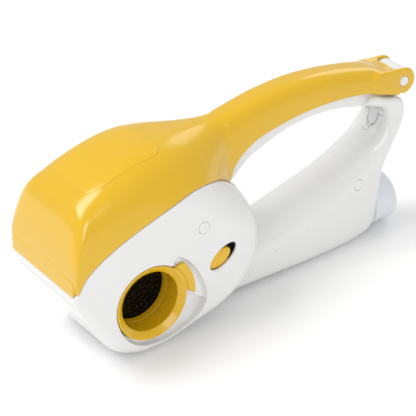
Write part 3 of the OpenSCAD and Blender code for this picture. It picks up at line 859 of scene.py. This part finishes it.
def tint(colour, factor):
    """A colour made a little darker or brighter."""
    return tuple(min(1.0, c * factor) for c in colour)


def plastic(name, colour, low, high, edge=1.08, coat=0.0, orange_peel=0.05, subsurface=0.0):
    """Moulded plastic: faint flow marks, a roughness that wanders, and paler rubbed edges."""
    s = Surface(name)
    broad = s.noise(38.0, 2.0)
    base = s.blend(s.spread(broad, 0.0, 1.0), tint(colour, 0.994), tint(colour, 1.006))
    base = s.blend(s.worn_edge(0.66, 0.9), base, tint(colour, edge))
    s.link(base, s.bsdf.inputs["Base Color"])
    s.link(s.spread(s.noise(160.0), low, high), s.bsdf.inputs["Roughness"])
    s.bump(s.noise(900.0, 4.0), orange_peel, 0.00005)
    s.set(IOR=1.5, Coat_Weight=coat, Coat_Roughness=0.08, Subsurface_Weight=subsurface)
    if subsurface:
        s.bsdf.inputs["Subsurface Radius"].default_value = (0.004, 0.003, 0.002)
        s.bsdf.inputs["Subsurface Scale"].default_value = 0.5
    return s.material


def metal(name, colour, low, high, edge=1.2, grain=700.0):
    """Machined or rolled metal: fine grain, small stains and brighter edges."""
    s = Surface(name)
    base = s.blend(s.spread(s.noise(120.0), 0.0, 1.0), tint(colour, 0.9), tint(colour, 1.05))
    base = s.blend(s.worn_edge(), base, tint(colour, edge))
    s.link(base, s.bsdf.inputs["Base Color"])
    s.link(s.spread(s.noise(300.0), low, high), s.bsdf.inputs["Roughness"])
    s.bump(s.noise(grain, 5.0), 0.12, 0.00008)
    s.set(Metallic=1.0)
    return s.material


def coated_sheet():
    """Dark coating on the grating sheet, rubbed thin where the burrs stand up."""
    s = Surface("black_coating")
    base = s.blend(s.spread(s.noise(90.0), 0.0, 1.0), (0.004, 0.004, 0.004), (0.01, 0.009, 0.008))
    base = s.blend(s.worn_edge(0.8, 1.0), base, (0.1, 0.09, 0.08))
    s.link(base, s.bsdf.inputs["Base Color"])
    s.link(s.spread(s.noise(400.0), 0.25, 0.5), s.bsdf.inputs["Roughness"])
    s.bump(s.noise(1200.0, 5.0), 0.2, 0.0001)
    s.set(Metallic=0.35)
    return s.material


WHITE = (0.76, 0.76, 0.755)
YELLOW = (0.73, 0.44, 0.008)


def make_materials():
    """Every material of the scene, by a short name."""
    return {
        "white": plastic("white_abs", WHITE, 0.16, 0.26, 1.005, coat=0.3),
        "inner": plastic("inner_white_abs", (0.78, 0.78, 0.76), 0.38, 0.5, 1.04),
        "yellow": plastic("yellow_gloss_abs", YELLOW, 0.14, 0.24, 1.06, coat=0.35),
        "ring": plastic("yellow_abs", YELLOW, 0.2, 0.32, 1.08, coat=0.2),
        "panel": plastic("yellow_panel", tint(YELLOW, 1.02), 0.18, 0.26, 1.05, coat=0.3),
        "cap": plastic("pearl_cap", (0.72, 0.74, 0.78), 0.25, 0.35, 1.06, subsurface=0.35),
        "button": plastic("button_grey", (0.7, 0.7, 0.71), 0.25, 0.35, 1.06),
        "lens": plastic("lens", (0.72, 0.78, 0.72), 0.1, 0.2, 1.1, coat=0.6, subsurface=0.5),
        "nylon": plastic("gear_acetal", (0.78, 0.75, 0.66), 0.4, 0.55, 1.05, orange_peel=0.1),
        "sleeve": plastic("cell_sleeve", (0.03, 0.14, 0.07), 0.3, 0.42, 1.4),
        "grey": plastic("cradle_grey", (0.2, 0.2, 0.2), 0.45, 0.6, 1.2, orange_peel=0.15),
        "board": plastic("solder_mask", (0.01, 0.1, 0.035), 0.3, 0.42, 1.5),
        "black": plastic("switch_black", (0.015, 0.015, 0.015), 0.35, 0.5, 2.5, orange_peel=0.2),
        "steel": metal("bright_steel", (0.6, 0.6, 0.62), 0.22, 0.36),
        "can": metal("zinc_can", (0.5, 0.5, 0.52), 0.3, 0.45),
        "brass": metal("sintered_bronze", (0.55, 0.36, 0.16), 0.35, 0.5),
        "sheet": coated_sheet(),
        # Near-white burr material: a painted glint where the punched edges catch the light
        "burr": plastic("burr_painted_glint", (0.85, 0.85, 0.84), 0.2, 0.35, 1.02),
    }


# ---------------------------------------------------------------- assembly
def build_housing(mats):
    """The two white halves and the covers over their screws."""
    near, far = shape("housing", (-56.5, -43.0, -1.5), (240.5, 43.0, 128.0), HOUSING_STEP,
                      housing_form, seam=("case_near", "case_far"))
    finish_piece(near, mats["white"], "housing", "white_plastic", "housing_near")
    finish_piece(far, mats["white"], "housing", "white_plastic", "housing_far")
    covers = [plug("cover_%d" % i, (p[0], p[2]), p[1], p[1] + PLUG_DEPTH, PLUG_R - 0.12)
              for i, p in enumerate(PLUGS)]
    for cover in covers:
        finish_piece(cover, mats["white"], "housing", "white_plastic", "screw_covers")


def build_yellow(mats):
    """The lid with its lever, the inlay on its crown, and the hinge pin covers."""
    lever = shape("squeeze_lever", (-57.0, -43.5, 62.0), (243.0, 43.5, 138.5), YELLOW_STEP, lever_form)
    finish_piece(lever, mats["yellow"], "lever", "yellow_gloss", "lid", "lever")
    finish_piece(inlay(), mats["panel"], "lever", "yellow_badge", "badge_plate")
    for side, name in ((-1, "pin_cover_near"), (1, "pin_cover_far")):
        cap = plug(name, (HINGE_X, HINGE_Z), side * PIN_COVER_FACE, side * PIN_COVER_BACK,
                   PIN_COVER_R - 0.18)
        finish_piece(cap, mats["white"], "lever", "white_plastic", "pin_cap")


def build_drum(mats):
    """The retaining ring, the lock button, and the drum's sheet and collar."""
    ring = shape("outlet_ring", (-28, -43.0, 12), (36, -24.0, 68), 0.4, ring_form)
    finish_piece(ring, mats["ring"], "ring", "yellow_plastic", "retaining_ring")
    lock = shape("lock_slider", (40, -43.0, 38), (70, -35.0, 66), 0.3, lock_form)
    finish_piece(lock, mats["ring"], "lock", "yellow_plastic", "lock_button")
    sheet = drum_sheet()
    finish_piece(sheet, mats["sheet"], "drum", "grate_black", "drum_sheet")
    # The sheet's second material: the painted glint on the burrs
    sheet.data.materials.append(mats["burr"])
    collar = [(-25.4, RING_BORE), (-25.4, 23.5), (-23.0, 23.5), (-23.0, 22.7), (-20.0, 22.7),
              (-20.0, RING_BORE)]
    sleeve = lathe("drum_sleeve", rounded(collar, 0.4), (0, DRUM_Z))
    finish_piece(sleeve, mats["ring"], "drum", "yellow_plastic", "drum_collar")


def build_fittings(mats):
    """The rear cap, the power key and the charge light."""
    cap = shape("rear_cover", (201, -19, 0.5), (223, 19, 38.5), 0.4, cap_form)
    finish_piece(cap, mats["cap"], "cap", "cap_grey", "rear_cap")
    key = shape("power_key", (208, -5, 77), (222, 5, 94), 0.25, key_form)
    finish_piece(key, mats["button"], "button", "button_grey", "power_button")
    light = shape("light_dome", (204.5, -3, 73), (215, 3, 79.4), 0.2, light_form)
    finish_piece(light, mats["lens"], "housing", "light_lens", "charge_light")


CAD_LOOKS = {"hopper": "inner", "housing_screws": "steel", "drum_hub": "ring", "drum_bearing": "brass",
             "lock_leaf": "steel", "pusher": "inner", "hinge_pin": "steel", "motor": "can",
             "motor_plate": "steel", "motor_pinion": "brass", "motor_shaft": "steel",
             "compound_gear": "nylon", "gear_axle": "steel", "drum_gear": "nylon",
             "battery_cells": "sleeve", "battery_cradle": "grey", "circuit_board": "board",
             "lever_switch": "black", "rear_spigot": "inner"}


def dress_cad(mats):
    """Looks and slightly softened edges for the CAD nodes that are shown themselves."""
    for node, look in CAD_LOOKS.items():
        obj = frame["nodes"][node]
        obj.data.materials.clear()
        obj.data.materials.append(mats[look])
        soft = obj.modifiers.new("soft_edges", "BEVEL")
        soft.width = 0.00025
        soft.segments = 2
        soft.angle_limit = math.radians(40)
        soft.limit_method = "ANGLE"


# ---------------------------------------------------------------- studio
def floor():
    """A plain pale floor."""
    mesh = bpy.data.meshes.new("floor")
    r = 4.0
    mesh.from_pydata([(-r, -r, 0), (r, -r, 0), (r, r, 0), (-r, r, 0)], [], [(0, 1, 2, 3)])
    obj = bpy.data.objects.new("floor", mesh)
    bpy.context.scene.collection.objects.link(obj)
    s = Surface("floor_paper")
    base = s.blend(s.spread(s.noise(3.0), 0.0, 1.0), (0.95, 0.95, 0.95), (0.97, 0.97, 0.97))
    s.link(base, s.bsdf.inputs["Base Color"])
    s.set(Roughness=0.9)
    mesh.materials.append(s.material)


def area_light(name, place, target, size, power):
    """A round light aimed at a point."""
    data = bpy.data.lights.new(name, "AREA")
    data.shape = "DISK"
    data.size = size
    data.energy = power
    obj = bpy.data.objects.new(name, data)
    bpy.context.scene.collection.objects.link(obj)
    obj.location = place
    aim = Vector(target) - Vector(place)
    obj.rotation_euler = aim.to_track_quat("-Z", "Y").to_euler()


def camera():
    """The view of the photograph: from the left, above and in front, slightly rolled."""
    azimuth, elevation, roll = (math.radians(a) for a in (-32.566, 31.211, -3.854))
    back = Vector((math.sin(azimuth) * math.cos(elevation), -math.cos(azimuth) * math.cos(elevation),
                   math.sin(elevation)))
    level = Vector((math.cos(azimuth), math.sin(azimuth), 0))
    upright = back.cross(level)
    right = math.cos(roll) * level + math.sin(roll) * upright
    up = math.cos(roll) * upright - math.sin(roll) * level
    target = Vector((-0.0197, 0.0, 0.0634))
    data = bpy.data.cameras.new("camera")
    data.lens = 164.4
    data.sensor_width = 36
    obj = bpy.data.objects.new("camera", data)
    bpy.context.scene.collection.objects.link(obj)
    turn = Matrix((right, up, back)).transposed().to_4x4()
    obj.matrix_world = Matrix.Translation(target + back * 1.2667) @ turn
    bpy.context.scene.camera = obj


def studio():
    """The floor, three lights and an even pale surround."""
    floor()
    area_light("key", (-0.9, 0.5, 1.7), (0, 0, 0.05), 1.3, 21)
    area_light("front_fill", (-0.5, -1.6, 0.9), (0, 0, 0.05), 1.0, 8.5)
    area_light("rim", (1.3, 0.6, 0.9), (0, 0, 0.06), 0.9, 3)
    world = bpy.data.worlds.new("studio")
    world.use_nodes = True
    world.node_tree.nodes["Background"].inputs["Color"].default_value = (1, 1, 1, 1)
    world.node_tree.nodes["Background"].inputs["Strength"].default_value = 0.62
    bpy.context.scene.world = world
    bpy.context.scene.view_settings.view_transform = "Standard"


MATS = make_materials()
build_housing(MATS)
build_yellow(MATS)
build_drum(MATS)
build_fittings(MATS)
dress_cad(MATS)
studio()
camera()
